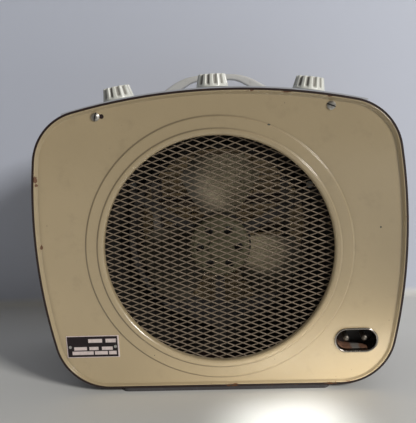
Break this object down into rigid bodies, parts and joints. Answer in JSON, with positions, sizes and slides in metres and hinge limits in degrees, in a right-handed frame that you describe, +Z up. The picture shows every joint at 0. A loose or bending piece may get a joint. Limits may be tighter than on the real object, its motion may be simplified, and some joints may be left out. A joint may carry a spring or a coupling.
{
  "type": "fan heater",
  "caption": "Free-standing electric fan heater: pressed panels in a bulged metal casing, round expanded-metal intake, slatted outlet, fluted knobs and a carrying handle on its crown.",
  "frame": {"origin": "on the floor below the middle of the casing", "axes": "+X to the right as the intake is faced, +Y from the intake to the outlet, +Z up"},
  "size_m": [0.3442, 0.14, 0.3007],
  "materials": {
    "panel_enamel": "satin enamel",
    "casing_enamel": "satin enamel",
    "plate_enamel": "satin enamel",
    "ivory_moulding": "gloss",
    "handle_moulding": "gloss",
    "mesh_enamel": "satin enamel",
    "motor_enamel": "satin enamel",
    "fan_sheet": "satin",
    "zinc_steel": "zinc plated",
    "core_steel": "plain",
    "sheath_steel": "heat stained",
    "duct_steel": "galvanised",
    "inlet_chrome": "polished",
    "contact_brass": "plain",
    "earth_copper": "tarnished",
    "dark_moulding": "satin",
    "holder_ceramic": "unglazed",
    "foot_rubber": "matt",
    "plate_metal": "printed dark with a bare border"
  },
  "bodies": {
    "casing": {"bracket_screws": "zinc_steel", "carry_handle": "handle_moulding", "casing_shell": "casing_enamel", "control_nuts": "zinc_steel", "element_holders": "holder_ceramic", "fan_shroud": "zinc_steel", "fan_switch": "dark_moulding", "front_clamp_ring": "zinc_steel", "front_element": "sheath_steel", "front_foot": "foot_rubber", "front_guard": "mesh_enamel", "front_panel": "panel_enamel", "front_panel_screws": "zinc_steel", "handle_screws": "zinc_steel", "heat_duct": "duct_steel", "heat_switch": "dark_moulding", "inlet_block": "dark_moulding", "inlet_collar": "inlet_chrome", "inlet_pins": "contact_brass", "inlet_springs": "earth_copper", "motor_bearings": "contact_brass", "motor_bracket": "zinc_steel", "motor_can": "motor_enamel", "motor_front_bell": "motor_enamel", "motor_rear_bell": "motor_enamel", "panel_nuts": "zinc_steel", "plate_pins": "zinc_steel", "rating_plate": "plate_metal", "rear_clamp_ring": "zinc_steel", "rear_element": "sheath_steel", "rear_foot": "foot_rubber", "rear_grille": "mesh_enamel", "rear_panel": "panel_enamel", "rear_panel_screws": "zinc_steel", "stator": "core_steel", "terminal_block": "dark_moulding", "thermal_cutout": "dark_moulding", "thermostat": "dark_moulding", "top_plate": "plate_enamel"},
    "fan_rotor": {"fan": "fan_sheet", "fan_nut": "zinc_steel", "motor_shaft": "core_steel", "rotor_core": "core_steel"},
    "left_control": {"left_knob": "ivory_moulding", "left_spindle": "zinc_steel"},
    "middle_control": {"middle_knob": "ivory_moulding", "middle_spindle": "zinc_steel"},
    "right_control": {"right_knob": "ivory_moulding", "right_spindle": "zinc_steel"}
  },
  "joints": [
    {"name": "fan_spin", "type": "hinge", "parent": "casing", "child": "fan_rotor", "pos_m": [0, 0, 0.1369], "axis": [0, 1, 0], "continuous": true},
    {"name": "heat_switch_turn", "type": "hinge", "parent": "casing", "child": "left_control", "pos_m": [-0.0885, -0.036, 0.27805], "axis": [0.1561, 0, -0.9877], "range_deg": [0, 135]},
    {"name": "thermostat_turn", "type": "hinge", "parent": "casing", "child": "middle_control", "pos_m": [0, -0.036, 0.285], "axis": [0, 0, -1], "range_deg": [0, 270]},
    {"name": "fan_switch_turn", "type": "hinge", "parent": "casing", "child": "right_control", "pos_m": [0.0885, -0.036, 0.27805], "axis": [-0.1561, 0, -0.9877], "range_deg": [0, 90]}
  ]
}
